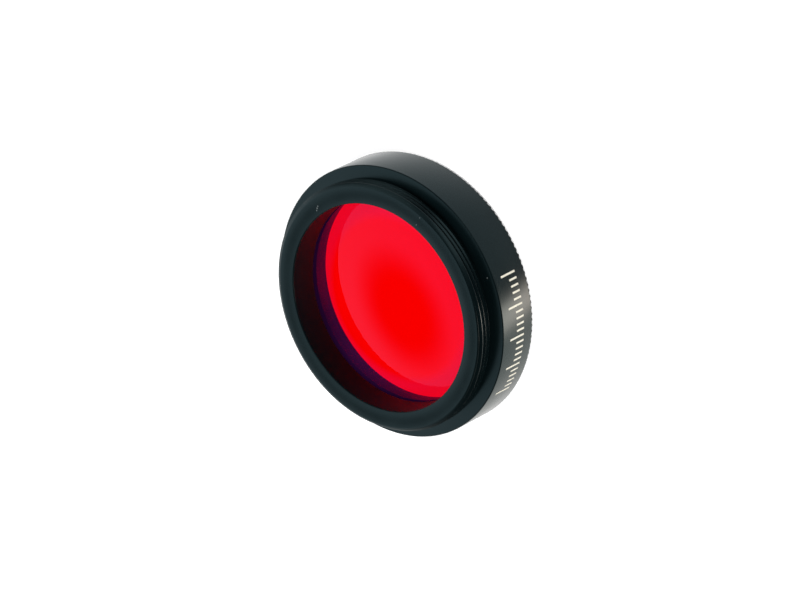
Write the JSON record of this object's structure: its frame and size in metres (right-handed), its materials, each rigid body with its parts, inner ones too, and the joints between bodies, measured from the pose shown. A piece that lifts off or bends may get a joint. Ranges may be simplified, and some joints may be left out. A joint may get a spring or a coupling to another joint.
{
  "type": "optical bandpass filter",
  "caption": "Round optical filter: a coated red glass pane held by a slotted ring in a black threaded mount with a knurled rear edge.",
  "frame": {"origin": "middle of the rear face, the knurled end that the filter lies on", "axes": "+Z along the optical axis, from the rear face to the front of the male thread"},
  "size_m": [0.0278, 0.0278, 0.0068],
  "materials": {
    "black_anodised": "black anodised, satin",
    "coated_glass": "polished, interference coated, deep red",
    "matte_black_anodised": "black anodised, matte"
  },
  "bodies": {
    "root": {"mount_ring": "black_anodised", "filter_glass": "coated_glass", "retaining_ring": "matte_black_anodised"}
  },
  "joints": []
}
